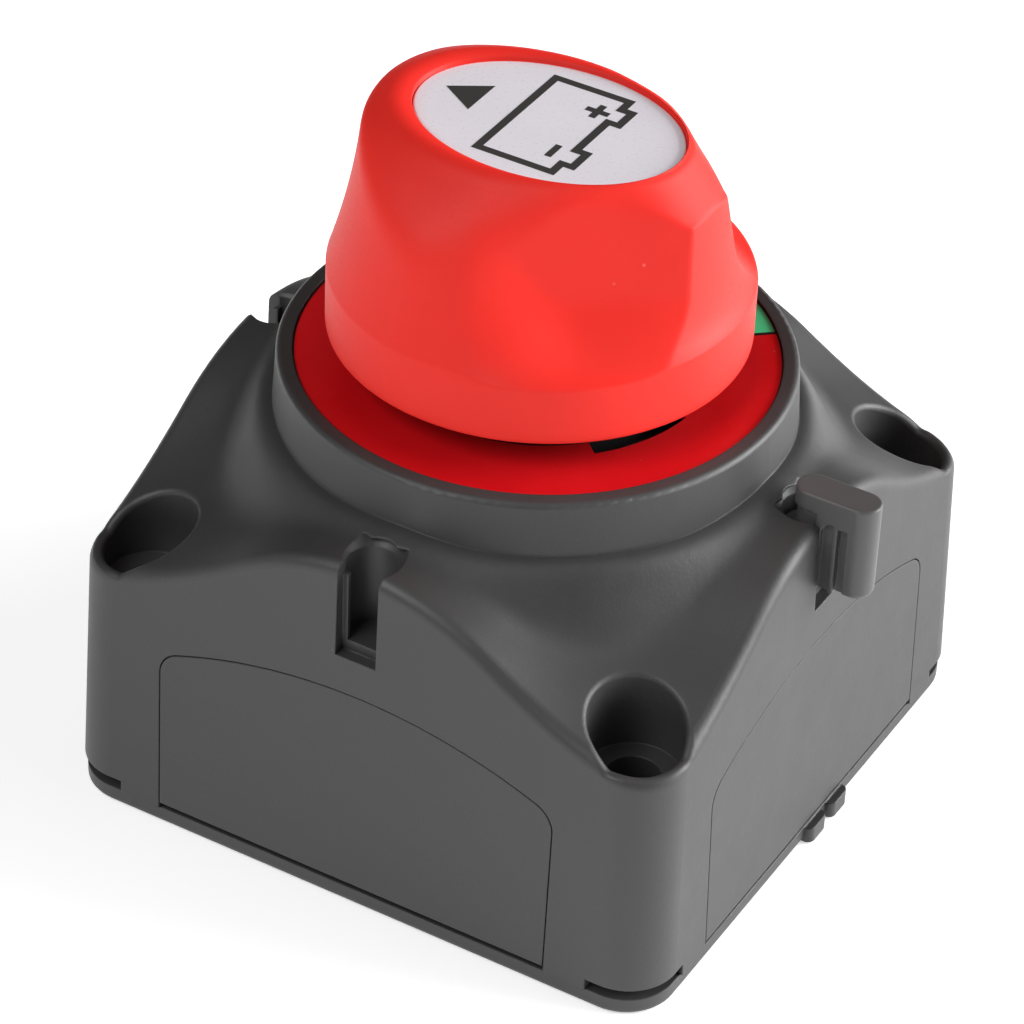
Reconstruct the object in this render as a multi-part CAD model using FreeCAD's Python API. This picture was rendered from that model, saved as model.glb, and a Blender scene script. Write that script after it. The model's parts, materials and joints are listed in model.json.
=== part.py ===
import FreeCAD, Part
import math
import os

# Surface-mount rotary battery switch for a boat.
# Frame: origin at the centre of the underside, +Z up, faces along X and Y.
# Rest pose: knob at OFF with its pointer towards -X, link key in the +X slot.
# All sizes are in millimetres.

V = FreeCAD.Vector
Z = V(0, 0, 1)

# ---- Driving dimensions ----
body_half = 34.5            # half side of the housing at datum_z
datum_z = 2.9
draft = 0.029               # inward lean of the side walls, mm per mm
corner_r = 5.5              # vertical corner radius
inner_half = 31.5           # half side of the terminal cavity
plate_t = 2.0               # base plate thickness
plate_half = 34.3
ceiling_z = 28.0            # roof of the terminal cavity
cavity_corner_r = 3.0
notch_from = 27.4           # thin gap under the housing at each corner
notch_t = 1.4

roof_top_z = 41.0           # roof height at the middle of a side
roof_crown_r = 25.0         # radius of the arched roof edge
roof_flank = 0.69           # steepest slope of the arched roof edge
corner_plane_z = 48.5       # corner facet: z = corner_plane_z - corner_slope * (|x| + |y|)
corner_slope = 0.308
saddle_slope = 0.1          # rise of the saddle towards the turret
foot_r = 28.0               # turret foot
foot_z = 41.8
foot_slope = 1.94
roof_blend = 5.0            # blend between corner facets and saddles
gusset_blend = 4.0
roof_edge_r = 1.5           # rounding between roof and walls

ring_foot_r = 26.6          # turret ring
ring_top_r = 26.1
ring_top_z = 47.9
ring_round_r = 0.6
bayonet_z = 47.3            # top of the bayonet plate
label_r = 24.4
label_t = 0.3
bayonet_t = 2.0             # plate under the dial label
bayonet_hole_r = 15.9
bayonet_notch_r = 17.95
bayonet_notch = (-42.0, -6.0)
pocket_r = 20.5             # turret pocket
web_z0, web_z1 = 38.0, 40.5
chamber_r = 21.0
carrier_r = 22.25
carrier_z0, carrier_z1 = 24.0, 30.5
carrier_flange_r = 26.2
seal_seat = 1.2             # depth of the seal's seat under a stud head
boss_r = 27.0               # ring boss round the carrier
boss_z = 24.5

hole_pitch = 55.6           # mounting holes, square pattern
hole_r = 2.75
pocket_hole_r = 4.75        # pocket for the screw head
pocket_floor_z = 25.0
pocket_round_r = 0.6
column_r = 6.0
boss_pitch = 42.0           # base screws, square pattern
boss_screw_r = 3.2
web_half = 1.4              # wall between a column and its screw boss
pilot_r = 1.25
pilot_z = 14.0
screw_r = 1.2
carrier_screw_at = 24.3     # carrier screws, radius and direction from X
carrier_screw_phi = 30.0
carrier_screw_head = (2.6, 20.0)

panel_half = 22.6           # arched side panel
panel_top_z = 26.2
panel_arch_r = 57.3
panel_corner_r = 3.0
panel_z0 = 2.8
panel_gap = 0.15
panel_flange = 1.1
panel_flange_t = 1.2

link_bore_u = 30.9          # link slot, measured from the centre of the part
link_bore_r = 2.6
link_bore_z = 31.7
link_lip_u = 31.9           # the lips narrow the mouth between these two planes
link_recess_u = 32.4
link_mouth_half = 1.7
link_recess_half = 2.3
link_recess_z = 30.5
link_lip_top_z = 39.6
link_rim_z = 40.8           # start of the chamfer round the bore

stud_x = 12.0               # terminal studs
stud_r = 5.0
stud_z0 = 4.2
stud_head_r = 6.5
stud_head_z0, stud_head_z1 = 28.5, 31.0
nut_flats = 17.0
nut_corner_r = 8.4          # chamfer circle of a nut
washer_r = 10.0
nut_z = (5.0, 13.0)
spring_z = (13.0, 15.5)
washer_z = (15.5, 17.5)
clamp_z = (17.5, 22.0)
neck_r = 6.0                # rotor neck in the web
neck_gap = 0.08
pin_r = 2.5                 # guide pin under the rotor
groove_r = 4.7              # groove of the neck seal
groove_z = (38.7, 40.0)
clip_groove_r = 5.0
clip_z = (40.6, 41.4)
spring_seat_z = 37.0
drive_half = 4.0            # square drive
drive_top_z = 60.0
disc_r = 20.5
disc_z0, disc_z1 = 35.0, 37.8
turn_deg = 90.0
stop_phi = 45.0             # stop lug at OFF
stop_half_deg = 6.0
stop_r = 22.3
bridge_z0, bridge_z1 = 32.3, 34.0
bridge_half = 5.9
bridge_reach = 17.0
contact_t = 0.6             # silver contact buttons
tip_gap = 0.1               # air gap between moving and fixed contacts

skirt_z = 51.35             # knob
skirt_r = 21.25
cone_z = 58.0               # the ends start to taper here
taper_1, taper_2 = 0.32, 0.0078
rim_z = 74.7
rim_a, rim_b = 14.95, 11.15  # semi-axes of the top rim
rim_x = -0.15               # the rim sits a little towards the pointer
flare_end = 0.95            # outward run of the crown per mm of drop: scooped end,
flare_side = 0.57           # sides
flare_pointer = 1.3         # and pointer end
wall_angle = 53.0           # direction of a scoop wall's normal, from X
wall_d = 14.7               # distance of a scoop wall from the axis at wall_ref_z
wall_ref_z = 65.0
wall_draft = 0.204          # outward run of the wall per mm of drop
floor_z = 57.6              # scoop floor at the skirt
floor_slope = 0.404
floor_blend_r = 4.5         # rounding between scoop floor and wall
crown_round_r = 1.0
rim_round_r = 0.3
end_round_r = 0.3
knob_bore_r = 19.2          # hollow under the knob
knob_core_r = 10.3
knob_core_z = 71.0
insert_hub_r = 15.0
insert_flange_r = 19.0
insert_flange_z = 53.0
insert_lug_r = 17.6
insert_z0 = 42.3
insert_screw_x = 17.0
ceiling_knob_z = 56.0
knob_label_a, knob_label_b = 13.9, 10.15
knob_label_z = 74.2
knob_label_t = 0.6

key_start_u, key_end_u = 29.6, 38.6     # head of the link key
key_half = 1.83
key_bulb_r = 2.3
key_neck_half = 1.0
key_flange_u = (32.7, 35.05)
key_column_u = 36.1
key_z0, key_z1 = 33.0, 43.9
key_head_z = 41.9           # underside of the head


# ---- Helpers ----
def cylinder(r, z0, z1, x=0.0, y=0.0):
    return Part.makeCylinder(r, z1 - z0, V(x, y, z0), Z)


def cone(r0, r1, z0, z1, x=0.0, y=0.0):
    return Part.makeCone(r0, r1, z1 - z0, V(x, y, z0), Z)


def ring(r_out, r_in, z0, z1, x=0.0, y=0.0):
    return cylinder(r_out, z0, z1, x, y).cut(cylinder(r_in, z0 - 1, z1 + 1, x, y))


def box(x0, x1, y0, y1, z0, z1):
    return Part.makeBox(x1 - x0, y1 - y0, z1 - z0, V(x0, y0, z0))


def fuse(shapes):
    return shapes[0].multiFuse(shapes[1:]).removeSplitter()


def sector(r_in, r_out, phi0, phi1, z0, z1):
    full = Part.makeCylinder(r_out, z1 - z0, V(0, 0, z0), Z, phi1 - phi0)
    full.rotate(V(0, 0, 0), Z, phi0)
    return full.cut(cylinder(r_in, z0 - 1, z1 + 1))


def turned(shape, degrees):
    copy = shape.copy()
    copy.rotate(V(0, 0, 0), Z, degrees)
    return copy


def four_ways(shape):
    return [turned(shape, 90.0 * i) for i in range(4)]


def hexagon(across_flats, z0, z1, x, y):
    r = across_flats / math.sqrt(3.0)
    pts = [V(x + r * math.cos(math.radians(60 * i)), y + r * math.sin(math.radians(60 * i)), z0)
           for i in range(7)]
    return Part.Face(Part.makePolygon(pts)).extrude(V(0, 0, z1 - z0))


def rounded_square(half, radius, z0, z1):
    block = box(-half, half, -half, half, z0, z1)
    upright = [e for e in block.Edges if abs(e.Vertexes[0].Z - e.Vertexes[1].Z) > 0.5 * (z1 - z0)]
    return block.makeFillet(radius, upright)


def square_points(pitch):
    h = pitch / 2.0
    return [(h, h), (-h, h), (-h, -h), (h, -h)]


def carrier_points():
    x = carrier_screw_at * math.cos(math.radians(carrier_screw_phi))
    y = carrier_screw_at * math.sin(math.radians(carrier_screw_phi))
    return [(x, y), (-x, y), (-x, -y), (x, -y)]


def cross_slot(half, z0, z1, x, y):
    # Cross recess in a screw head.
    return box(x - half, x + half, y - 0.3, y + 0.3, z0, z1).fuse(
        box(x - 0.3, x + 0.3, y - half, y + half, z0, z1))


def stadium(u0, u1, half, z0, z1):
    # Upright bar along X with round ends.
    straight = box(u0 + half, u1 - half, -half, half, z0, z1)
    return fuse([straight, cylinder(half, z0, z1, u0 + half), cylinder(half, z0, z1, u1 - half)])


# ---- Housing ----
def smooth_max(a, b, width):
    # Larger of two heights, blended where they differ by less than width.
    h = max(width - abs(a - b), 0.0) / width
    return max(a, b) + width * h ** 3 / 6.0


def roof_edge(s):
    # Height of the roof above a side wall, s mm from the middle of that side.
    s = abs(s)
    s_arc = roof_crown_r * roof_flank / math.sqrt(1.0 + roof_flank ** 2)
    if s <= s_arc:
        return roof_top_z - roof_crown_r + math.sqrt(roof_crown_r ** 2 - s ** 2)
    z_arc = roof_top_z - roof_crown_r + math.sqrt(roof_crown_r ** 2 - s_arc ** 2)
    return z_arc - roof_flank * (s - s_arc)


def roof_height(x, y):
    u, v = abs(x), abs(y)
    facet = corner_plane_z - corner_slope * (u + v)
    saddle_x = roof_edge(v) + saddle_slope * (body_half - u)
    saddle_y = roof_edge(u) + saddle_slope * (body_half - v)
    flank = foot_z - foot_slope * (math.hypot(x, y) - foot_r)
    gusset = -smooth_max(-foot_z, -flank, gusset_blend)
    z = smooth_max(facet, saddle_x, roof_blend)
    z = smooth_max(z, saddle_y, roof_blend)
    return smooth_max(z, gusset, gusset_blend)


def roof_block():
    # Solid below the roof surface, wider than the housing.
    reach, count = 36.0, 73
    steps = [-reach + 2.0 * reach * i / (count - 1) for i in range(count)]
    surface = Part.BSplineSurface()
    surface.interpolate([[V(x, y, roof_height(x, y)) for y in steps] for x in steps])
    return surface.toShape().extrude(V(0, 0, -60.0))


def drafted_block(z_top):
    lean = draft * (z_top - datum_z)
    low = body_half + draft * (datum_z - plate_t)
    top = body_half - lean
    block = Part.makeWedge(-low, plate_t, -low, -top, -top, low, z_top, low, top, top)
    block.rotate(V(0, 0, 0), V(1, 0, 0), 90)
    upright = [e for e in block.Edges if abs(e.Vertexes[0].Z - e.Vertexes[1].Z) > 5.0]
    return block.makeFillet(corner_r, upright)


def pocket_rim(body, x, y):
    # Edges where the screw pocket at (x, y) meets the roof.
    rim = []
    for edge in body.Edges:
        first, last = edge.FirstParameter, edge.LastParameter
        points = [edge.valueAt(first + (last - first) * i / 6.0) for i in range(7)]
        on_wall = all(abs(math.hypot(p.x - x, p.y - y) - pocket_hole_r) < 0.02 for p in points)
        if on_wall and edge.BoundBox.ZMin > pocket_floor_z + 1.0 and edge.BoundBox.XLength > 0.3:
            rim.append(edge)
    return rim


def housing_skin():
    body = drafted_block(47.0).common(roof_block()).Solids[0]
    roof = [f for f in body.Faces if f.Surface.TypeId == "Part::GeomBSplineSurface"][0]
    body = body.makeFillet(roof_edge_r, roof.Edges)
    crown = cone(ring_foot_r, ring_top_r, foot_z - 3.0, ring_top_z)
    top = [e for e in crown.Edges if abs(e.BoundBox.ZMin - ring_top_z) < 0.01 and e.Closed]
    body = body.fuse(crown.makeFillet(ring_round_r, top))
    for x, y in square_points(hole_pitch):
        body = body.cut(cylinder(pocket_hole_r, pocket_floor_z, 50.0, x, y))
    rims = [e for x, y in square_points(hole_pitch) for e in pocket_rim(body, x, y)]
    return body.makeFillet(pocket_round_r, rims)


def panel_outline(grow, z_low):
    # Arched outline in the plane of the -Y wall: straight sides, arc top, rounded shoulders.
    half = panel_half + grow
    r_top = panel_arch_r + grow
    top = panel_top_z + grow
    shoulder = top - r_top + math.sqrt(r_top ** 2 - half ** 2)
    arc = Part.Arc(V(-half, 0, shoulder), V(0, 0, top), V(half, 0, shoulder)).toShape()
    sides = [Part.makeLine(V(half, 0, shoulder), V(half, 0, z_low)),
             Part.makeLine(V(half, 0, z_low), V(-half, 0, z_low)),
             Part.makeLine(V(-half, 0, z_low), V(-half, 0, shoulder))]
    return Part.Face(Part.Wire([arc] + sides))


def panel_prism(grow, z_low, y0, y1):
    face = panel_outline(grow, z_low)
    face.translate(V(0, y0, 0))
    prism = face.extrude(V(0, y1 - y0, 0))
    shoulders = [e for e in prism.Edges
                 if abs(e.BoundBox.YLength - abs(y1 - y0)) < 1e-6 and e.BoundBox.ZMin > z_low + 5.0]
    return prism.makeFillet(panel_corner_r + grow, shoulders)


def link_slot():
    # Keyhole in the +X wall, open at the roof and at the face, with a lip on each side of its mouth.
    bore = cylinder(link_bore_r, link_bore_z, 50.0, link_bore_u)
    bore = bore.cut(box(link_lip_u, 37.0, -5.0, 5.0, 30.0, link_lip_top_z))
    mouth = box(link_bore_u, 37.0, -link_mouth_half, link_mouth_half, link_bore_z, 50.0)
    recess = box(link_recess_u, 37.0, -link_recess_half, link_recess_half, link_recess_z, 50.0)
    throat = box(link_bore_u, 37.0, -link_recess_half, link_recess_half, link_lip_top_z, 50.0)
    lead_in = cone(link_bore_r, link_bore_r + 1.0, link_rim_z, link_rim_z + 1.0, link_bore_u)
    return fuse([bore, mouth, recess, throat, lead_in])


def terminal_cavity():
    cavity = rounded_square(inner_half, cavity_corner_r, 0.0, ceiling_z)
    cavity = cavity.cut(cylinder(boss_r, boss_z, ceiling_z + 1.0))
    boss_at = boss_pitch / math.sqrt(2.0)
    column_at = hole_pitch / math.sqrt(2.0)
    web = box(boss_at, column_at, -web_half, web_half, -1.0, ceiling_z + 1.0)
    web.rotate(V(0, 0, 0), Z, 45.0)
    solids = four_ways(web)
    solids += [cylinder(column_r, -1.0, ceiling_z + 1.0, x, y) for x, y in square_points(hole_pitch)]
    solids += [cylinder(boss_screw_r, -1.0, ceiling_z + 1.0, x, y) for x, y in square_points(boss_pitch)]
    for solid in solids:
        cavity = cavity.cut(solid)
    return cavity


def corner_notches():
    block = box(notch_from, 40.0, notch_from, 40.0, plate_t - 1.0, plate_t + notch_t)
    kept = rounded_square(plate_half - 1.6, corner_r - 1.0, 0.0, 5.0)
    return four_ways(block.cut(kept))


def housing():
    body = housing_skin()
    cuts = [terminal_cavity(),
            cylinder(carrier_r + 0.1, 20.0, 31.0),
            cylinder(chamber_r, 30.0, web_z0),
            sector(chamber_r - 1.0, stop_r + 0.3, stop_phi - turn_deg - stop_half_deg - 0.4,
                   stop_phi + stop_half_deg + 0.4, disc_z0 - 0.4, web_z0),
            cylinder(neck_r + neck_gap, web_z0 - 1.0, web_z1 + 1.0),
            cylinder(pocket_r, web_z1, 49.0),
            cylinder(label_r + 0.05, bayonet_z - bayonet_t, 49.0)]
    cuts += [cylinder(hole_r, 0.0, 40.0, x, y) for x, y in square_points(hole_pitch)]
    cuts += [cylinder(pilot_r, 0.0, pilot_z, x, y) for x, y in square_points(boss_pitch)]
    cuts += [cylinder(pilot_r, 20.0, carrier_z1, x, y) for x, y in carrier_points()]
    cuts += four_ways(link_slot())
    cuts += four_ways(panel_prism(panel_gap, 0.0, -37.0, -30.0))
    cuts += four_ways(panel_prism(panel_flange + panel_gap, 0.0, -inner_half,
                                  -inner_half + panel_flange_t + panel_gap))
    cuts += corner_notches()
    for cut in cuts:
        body = body.cut(cut)
    return body.removeSplitter()


def side_panel(quarter):
    plug = panel_prism(0.0, panel_z0, -37.0, -inner_half).common(drafted_block(47.0))
    flange = panel_prism(panel_flange, panel_z0, -inner_half, -inner_half + panel_flange_t)
    return turned(plug.fuse(flange).removeSplitter(), 90.0 * quarter)


def base_plate():
    plate = rounded_square(plate_half, corner_r, 0.0, plate_t)
    lower = [e for e in plate.Edges if e.BoundBox.ZMax < 0.01]
    plate = plate.makeFillet(0.7, lower)
    ribs = four_ways(box(-17.5, 17.5, -30.1, -28.7, plate_t - 0.5, 5.5))
    nubs = [box(33.0, 35.2, y - 1.8, y + 1.8, 0.0, 1.8) for y in (0.8, 5.5)]
    nubs = [n.makeFillet(0.8, [e for e in n.Edges if e.BoundBox.ZLength > 1.0 and e.BoundBox.XMin > 34.0])
            for n in nubs]
    plate = fuse([plate] + ribs + nubs)
    for x, y in square_points(hole_pitch):
        plate = plate.cut(cylinder(hole_r, -1.0, 5.0, x, y))
    for x, y in square_points(boss_pitch):
        plate = plate.cut(cylinder(screw_r + 0.4, -1.0, 5.0, x, y))
        plate = plate.cut(cone(2.95, screw_r + 0.35, -0.001, 1.4, x, y))
    return plate


def base_screws():
    screws = []
    for x, y in square_points(boss_pitch):
        head = cone(2.75, 1.4, 0.15, 1.5, x, y)
        shank = cylinder(screw_r, 1.4, 11.0, x, y)
        tip = cone(screw_r, 0.3, 11.0, 12.5, x, y)
        screws.append(fuse([head, shank, tip]).cut(cross_slot(1.6, 0.0, 0.8, x, y)))
    return Part.makeCompound(screws)


# ---- Dial ----
def bayonet_notches(z0, z1):
    cut = sector(10.0, bayonet_notch_r, bayonet_notch[0], bayonet_notch[1], z0, z1)
    return cut.fuse(turned(cut, 180.0))


def bayonet_plate():
    plate = ring(label_r, bayonet_hole_r, bayonet_z - bayonet_t, bayonet_z)
    return plate.cut(bayonet_notches(bayonet_z - bayonet_t - 1.0, bayonet_z + 1.0))


def dial_label():
    label = ring(label_r, bayonet_hole_r + 0.2, bayonet_z, bayonet_z + label_t)
    return label.cut(bayonet_notches(bayonet_z - 1.0, bayonet_z + 1.0))


# ---- Contact deck ----
def contact_carrier():
    plug = cylinder(carrier_r, carrier_z0, carrier_z1)
    flange = cylinder(carrier_flange_r, carrier_z0 - 2.0, carrier_z0)
    divider = box(-1.0, 1.0, -14.0, 14.0, 6.5, carrier_z0)
    body = fuse([plug, flange, divider])
    for x in (-stud_x, stud_x):
        body = body.cut(cylinder(stud_r + 0.05, 0.0, 40.0, x))
        body = body.cut(cylinder(stud_head_r + 0.1, stud_head_z0 - seal_seat, 40.0, x))
    for x, y in carrier_points():
        body = body.cut(cylinder(screw_r + 0.4, 0.0, 25.0, x, y))
    return body.cut(cylinder(pin_r + neck_gap, 27.0, 40.0))


def carrier_gasket():
    gasket = ring(carrier_flange_r - 0.2, carrier_r + 0.3, carrier_z0, boss_z)
    for x, y in carrier_points():
        gasket = gasket.cut(cylinder(screw_r + 0.4, 20.0, 30.0, x, y))
    return gasket


def carrier_screws():
    head_r, head_z0 = carrier_screw_head
    head_z1 = carrier_z0 - 2.0
    screws = []
    for x, y in carrier_points():
        head = cylinder(head_r, head_z0, head_z1, x, y)
        shank = cylinder(screw_r, head_z1, carrier_z1 - 0.5, x, y)
        screws.append(head.fuse(shank).cut(cross_slot(1.6, head_z0 - 0.5, head_z0 + 0.9, x, y)))
    return Part.makeCompound(screws)


def stud(x):
    shank = cylinder(stud_r, stud_z0 + 1.0, stud_head_z0, x)
    tip = cone(stud_r - 0.9, stud_r, stud_z0, stud_z0 + 1.0, x)
    head = cylinder(stud_head_r, stud_head_z0, stud_head_z1, x)
    return fuse([shank, tip, head])


def on_studs(make):
    # The same piece on both studs, with the stud's hole through it.
    return Part.makeCompound([make(x).cut(cylinder(stud_r, 0.0, 40.0, x)) for x in (-stud_x, stud_x)])


def stud_seals():
    z = stud_head_z0 - seal_seat / 2.0
    return on_studs(lambda x: Part.makeTorus(stud_r + 0.8, seal_seat / 2.0, V(x, 0, z), Z))


def fixed_contacts():
    top = bridge_z0 - contact_t - tip_gap
    return Part.makeCompound([cylinder(4.0, stud_head_z1, top, x) for x in (-stud_x, stud_x)])


def nut(z0, z1, chamfer_up, x):
    # Hexagon nut with the corners of one end chamfered.
    rise = z1 - z0
    shape = hexagon(nut_flats, z0, z1, x, 0.0)
    if chamfer_up:
        return shape.common(cone(nut_corner_r + rise, nut_corner_r, z0, z1, x))
    return shape.common(cone(nut_corner_r, nut_corner_r + rise, z0, z1, x))


def clamp_nuts():
    return on_studs(lambda x: nut(clamp_z[0], clamp_z[1], False, x))


def flat_washers():
    return on_studs(lambda x: cylinder(washer_r, washer_z[0], washer_z[1], x))


def spring_washers():
    def split_ring(x):
        body = cylinder(nut_corner_r + 0.2, spring_z[0], spring_z[1], x)
        return body.cut(box(x - 0.6, x + 0.6, 4.0, 10.0, spring_z[0] - 1.0, spring_z[1] + 1.0))
    return on_studs(split_ring)


def terminal_nuts():
    return on_studs(lambda x: nut(nut_z[0], nut_z[1], False, x))


# ---- Rotor ----
def rotor():
    disc = cylinder(disc_r, disc_z0, disc_z1)
    lug = sector(disc_r - 1.0, stop_r, stop_phi - stop_half_deg, stop_phi + stop_half_deg,
                 disc_z0, disc_z1)
    neck = cylinder(neck_r, disc_z1, 41.5)
    drive = box(-drive_half, drive_half, -drive_half, drive_half, 41.5, drive_top_z)
    drive = drive.makeChamfer(0.6, drive.Edges)
    drive = fuse([drive, cylinder(drive_half, 41.0, 43.0)])
    pin = cylinder(pin_r, 27.3, disc_z0)
    tab = box(bridge_half + 0.3, bridge_half + 2.3, -5.0, 5.0, bridge_z0 + 0.3, disc_z0)
    body = fuse([disc, lug, neck, drive, pin, tab, turned(tab, 180.0)])
    body = body.cut(ring(6.2, 3.2, disc_z0 - 1.0, spring_seat_z))
    body = body.cut(ring(8.0, groove_r, groove_z[0], groove_z[1]))
    return body.cut(ring(8.0, clip_groove_r, clip_z[0] - 0.05, clip_z[1] + 0.05))


def rotor_seal():
    minor = (groove_z[1] - groove_z[0]) / 2.0 - 0.01
    middle = (groove_z[0] + groove_z[1]) / 2.0
    return Part.makeTorus(groove_r + minor + 0.01, minor, V(0, 0, middle), Z)


def rotor_clip():
    clip = ring(8.4, clip_groove_r + 0.02, clip_z[0], clip_z[1])
    return clip.cut(box(0.0, 9.0, -2.4, 2.4, 40.0, 42.0))


def contact_bridge():
    bar = box(-bridge_half, bridge_half, -bridge_reach, bridge_reach, bridge_z0, bridge_z1)
    bar = bar.makeFillet(4.0, [e for e in bar.Edges if e.BoundBox.ZLength > 1.0])
    return bar.cut(cylinder(pin_r + 0.25, 30.0, 36.0))


def bridge_contacts():
    return Part.makeCompound([cylinder(3.6, bridge_z0 - contact_t, bridge_z0, 0.0, y)
                              for y in (-stud_x, stud_x)])


def bridge_spring():
    wire_r, coil_r, turns = 0.45, 4.7, 3.0
    low, high = bridge_z1 + wire_r, spring_seat_z - wire_r
    helix = Part.makeHelix((high - low) / turns, high - low, coil_r)
    helix.translate(V(0, 0, low))
    start = helix.Edges[0].valueAt(helix.Edges[0].FirstParameter)
    tangent = helix.Edges[0].tangentAt(helix.Edges[0].FirstParameter)
    profile = Part.Wire([Part.makeCircle(wire_r, start, tangent)])
    return Part.Wire(helix.Edges).makePipeShell([profile], True, True)


# ---- Knob ----
def end_radius(z):
    if z <= cone_z:
        return skirt_r
    rise = z - cone_z
    return skirt_r - taper_1 * rise + taper_2 * rise * rise


def knob_ends():
    levels = [cone_z + (rim_z + 1.0 - cone_z) * i / 6.0 for i in range(7)]
    curve = Part.BSplineCurve()
    curve.interpolate([V(end_radius(z), 0, z) for z in levels])
    top, base = levels[-1], skirt_z
    edges = [Part.makeLine(V(0, 0, base), V(skirt_r, 0, base)),
             Part.makeLine(V(skirt_r, 0, base), V(skirt_r, 0, cone_z)),
             curve.toShape(),
             Part.makeLine(V(end_radius(top), 0, top), V(0, 0, top)),
             Part.makeLine(V(0, 0, top), V(0, 0, base))]
    return Part.Face(Part.Wire(edges)).revolve(V(0, 0, 0), Z, 360)


def oval(a, b, z, x=0.0):
    return Part.Wire([Part.Ellipse(V(x, 0, z), a, b).toShape()])


def knob_crown():
    # Elliptical cone that flares most towards the pointer end.
    drop = rim_z - skirt_z
    foot_a = rim_a + 0.5 * (flare_end + flare_pointer) * drop
    foot_b = rim_b + flare_side * drop
    foot_x = rim_x + 0.5 * (flare_end - flare_pointer) * drop
    foot = oval(foot_a, foot_b, skirt_z, foot_x)
    return Part.makeLoft([foot, oval(rim_a, rim_b, rim_z, rim_x)], True, True)


def side_scoop():
    # Space outside the +Y wall, which leans out with its draft, and above the sloping floor.
    wall = V(math.cos(math.radians(wall_angle)), math.sin(math.radians(wall_angle)), wall_draft)
    along = wall.cross(Z).normalize()
    up = along.cross(wall).normalize()
    if up.z < 0.0:
        up = up * -1.0
    foot = V(wall.x * wall_d, wall.y * wall_d, wall_ref_z)
    reach = ((-40, -15), (40, -15), (40, 25), (-40, 25), (-40, -15))
    corners = [foot + along * a + up * b for a, b in reach]
    space = Part.Face(Part.makePolygon(corners)).extrude(wall.normalize() * 40.0)
    floor_reach = 2.0 * skirt_r
    floor = cone(floor_reach, 0.001, floor_z - floor_slope * skirt_r, floor_z + floor_slope * skirt_r)
    ground = cylinder(90.0, 30.0, floor_z - floor_slope * skirt_r)
    space = space.cut(floor.fuse(ground)).removeSplitter()
    floor_face = [f for f in space.Faces if f.Surface.TypeId == "Part::GeomCone"][0]
    crease = []
    for edge in floor_face.Edges:
        middle = edge.valueAt((edge.FirstParameter + edge.LastParameter) / 2.0)
        if middle.z > 58.0 and middle.Length < 75.0:
            crease.append(edge)
    return space.makeFillet(floor_blend_r, crease)


def knob():
    body = knob_ends().common(knob_crown())
    space = side_scoop()
    body = body.cut(space).cut(space.mirror(V(0, 0, 0), V(0, 1, 0))).removeSplitter()
    crown_edges = [e for e in body.Edges
                   if e.BoundBox.ZMin > 58.5 and 71.5 < e.BoundBox.ZMax < rim_z - 0.01
                   and e.BoundBox.XLength > 10.0 and e.BoundBox.YLength > 10.0]
    body = body.makeFillet(crown_round_r, crown_edges)
    rim = [e for e in body.Edges if abs(e.BoundBox.ZMin - rim_z) < 0.01]
    body = body.makeFillet(rim_round_r, rim)
    end_edges = [e for e in body.Edges if e.BoundBox.ZLength > 5.0 and e.BoundBox.ZMin > 57.0
                 and e.BoundBox.ZMax < 71.5 and e.BoundBox.YLength > 0.8
                 and e.BoundBox.XMin > 15.0 and e.BoundBox.XMax > 17.0]
    body = body.makeFillet(end_round_r, end_edges)
    seat = Part.Face(oval(knob_label_a + 0.1, knob_label_b + 0.1, knob_label_z - knob_label_t))
    body = body.cut(seat.extrude(V(0, 0, 5.0)))
    body = body.cut(cylinder(knob_bore_r, skirt_z - 1.0, ceiling_knob_z))
    body = body.cut(cylinder(knob_core_r, skirt_z, knob_core_z))
    for x in (-insert_screw_x, insert_screw_x):
        body = body.cut(cylinder(1.0, 50.0, 63.0, x))
    return body


def knob_insert():
    hub = cylinder(insert_hub_r, insert_z0, insert_flange_z)
    flange = cylinder(insert_flange_r, insert_flange_z, ceiling_knob_z)
    spigot = cylinder(knob_core_r - 0.2, ceiling_knob_z, 62.0)
    lug = sector(insert_hub_r - 1.0, insert_lug_r, bayonet_notch[0] + 1.5, bayonet_notch[1] - 1.5,
                 insert_z0, bayonet_z - bayonet_t - 0.3)
    body = fuse([hub, flange, spigot, lug, turned(lug, 180.0)])
    socket = drive_half + 0.1
    body = body.cut(box(-socket, socket, -socket, socket, insert_z0 - 1.0, 61.0))
    body = body.cut(cylinder(8.8, insert_z0 - 1.0, insert_z0 + 0.6))
    for x in (-insert_screw_x, insert_screw_x):
        body = body.cut(cylinder(1.3, 50.0, 60.0, x))
    return body


def insert_screws():
    screws = []
    for x in (-insert_screw_x, insert_screw_x):
        head = cylinder(1.8, insert_flange_z - 1.2, insert_flange_z, x)
        drive = box(x - 1.2, x + 1.2, -0.25, 0.25, insert_flange_z - 2.0, insert_flange_z - 0.6)
        screws.append(head.fuse(cylinder(0.95, insert_flange_z, 62.0, x)).cut(drive))
    return Part.makeCompound(screws)


def knob_label():
    return Part.Face(oval(knob_label_a, knob_label_b, knob_label_z - knob_label_t)).extrude(
        V(0, 0, knob_label_t))


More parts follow.
